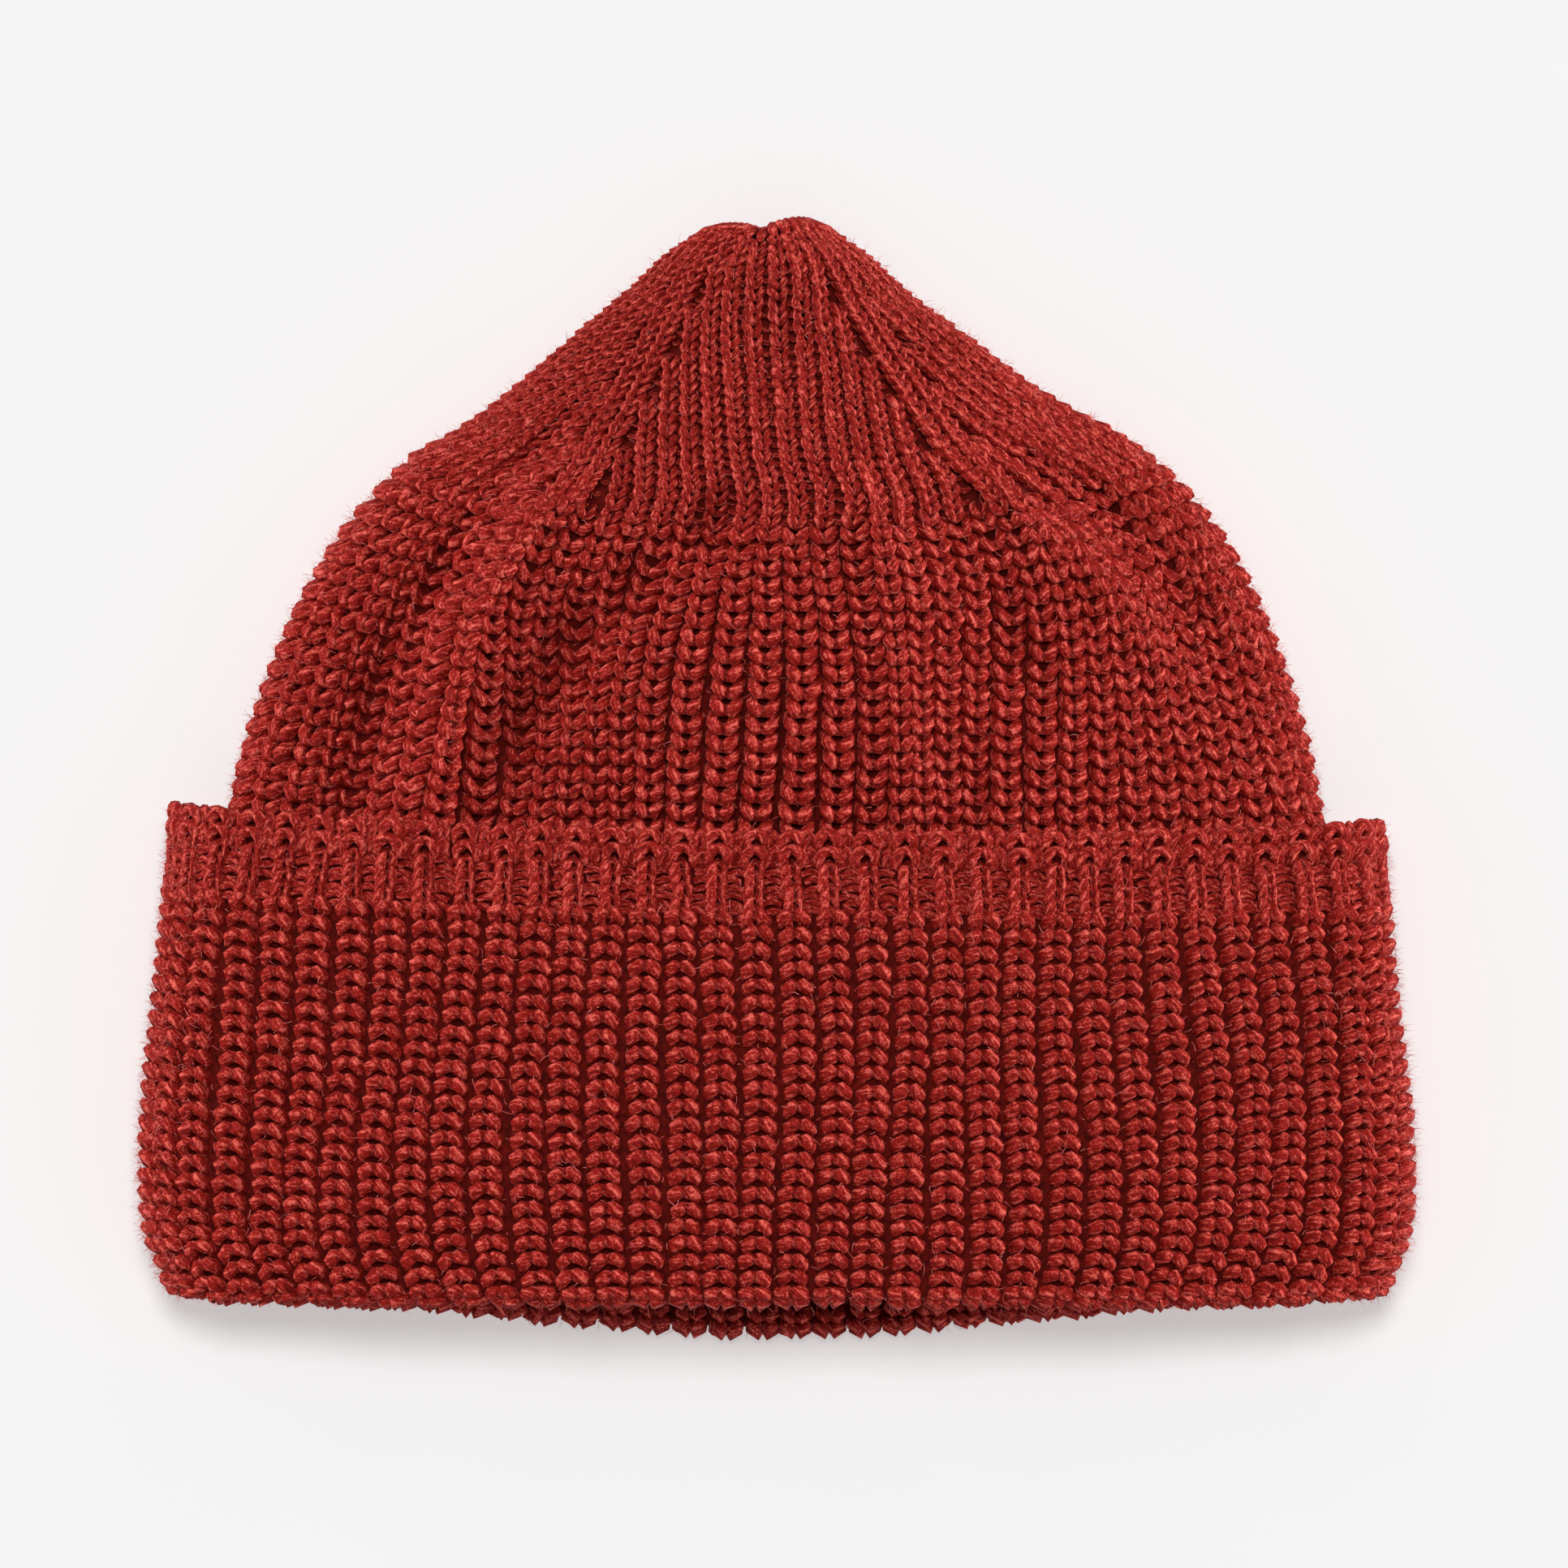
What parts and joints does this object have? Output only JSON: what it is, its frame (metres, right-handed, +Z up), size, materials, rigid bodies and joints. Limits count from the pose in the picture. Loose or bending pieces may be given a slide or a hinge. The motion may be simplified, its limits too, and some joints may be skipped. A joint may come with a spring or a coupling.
{
  "type": "cuffed beanie",
  "caption": "Chunky rib-knit beanie with a deep turned-up cuff and a four-panel crown, lying on its back with the head opening towards the viewer.",
  "frame": {"origin": "centre of the hat's outline on the surface that it lies on", "axes": "+X across the hat to the picture's right, +Y from the bottom fold to the tip of the crown, +Z up from the surface to the front of the hat"},
  "size_m": [0.231, 0.2016, 0.0422],
  "materials": {
    "wool_body": "matt knitted wool",
    "wool_cuff": "matt knitted wool"
  },
  "bodies": {
    "root": {"body": "wool_body", "crown": "wool_body", "cuff": "wool_cuff", "cuff_edge": "wool_cuff"}
  },
  "joints": []
}
